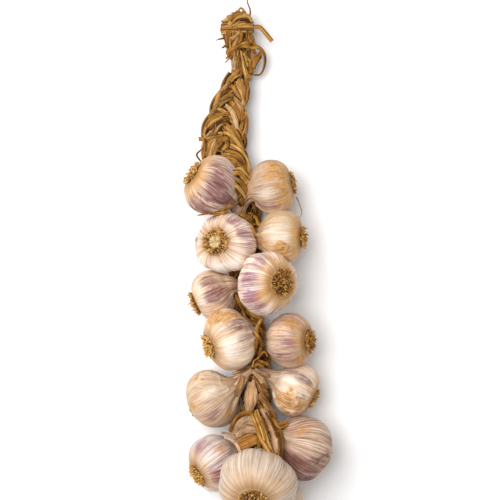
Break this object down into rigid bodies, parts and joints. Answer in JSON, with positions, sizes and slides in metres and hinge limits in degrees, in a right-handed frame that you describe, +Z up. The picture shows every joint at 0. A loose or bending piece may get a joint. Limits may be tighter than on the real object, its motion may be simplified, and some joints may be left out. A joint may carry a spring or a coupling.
{
  "type": "garlic braid",
  "caption": "Braid of garlic lying flat: bulbs in papery, purple-streaked skins, held by their dried leaves, which are plaited together and tied off in a knot to hang it by.",
  "frame": {"origin": "on the surface the braid lies on, under the middle of its length and width", "axes": "+Y up the braid to the knot, +X to the right as seen from above, +Z up from the surface"},
  "size_m": [0.1332, 0.4842, 0.0938],
  "materials": {
    "skin_cream": "satin",
    "skin_pink": "satin",
    "skin_tan": "satin",
    "plaited_leaf": "matte",
    "loose_leaf": "matte",
    "dry_roots": "matte"
  },
  "bodies": {
    "root": {"plait_strand_a": "plaited_leaf", "plait_strand_b": "plaited_leaf", "plait_strand_c": "plaited_leaf", "knot_bundle": "plaited_leaf", "tie_wide": "loose_leaf", "tie_narrow": "loose_leaf", "tie_arch": "loose_leaf", "tie_diagonal": "loose_leaf", "hollow_stem": "loose_leaf", "bulb_bottom_front": "skin_cream", "bulb_third_right": "skin_cream", "bulb_fourth_left": "skin_cream", "bulb_first_left": "skin_pink", "bulb_second_left": "skin_cream", "bulb_fourth_right": "skin_pink", "bulb_second_right": "skin_tan", "bulb_sixth_right": "skin_pink", "bulb_first_right": "skin_tan", "bulb_sixth_left": "skin_pink", "bulb_fifth_left": "skin_tan", "bulb_third_left": "skin_pink", "bulb_fifth_right": "skin_tan", "bulb_bottom_back": "skin_cream", "knot_loop": "loose_leaf", "leaf_loop_outer": "loose_leaf", "leaf_loop_inner": "loose_leaf", "leaf_fold": "loose_leaf", "leaf_brown": "loose_leaf", "leaf_tan": "loose_leaf", "leaf_grey": "loose_leaf", "leaf_arch": "loose_leaf", "leaf_pale": "loose_leaf", "leaf_cut": "loose_leaf", "rib_left": "loose_leaf", "rib_middle": "loose_leaf", "rib_right": "loose_leaf", "hanging_thread": "loose_leaf", "plait_thread": "loose_leaf", "pale_thread": "loose_leaf", "side_stalk": "loose_leaf"}
  },
  "joints": []
}
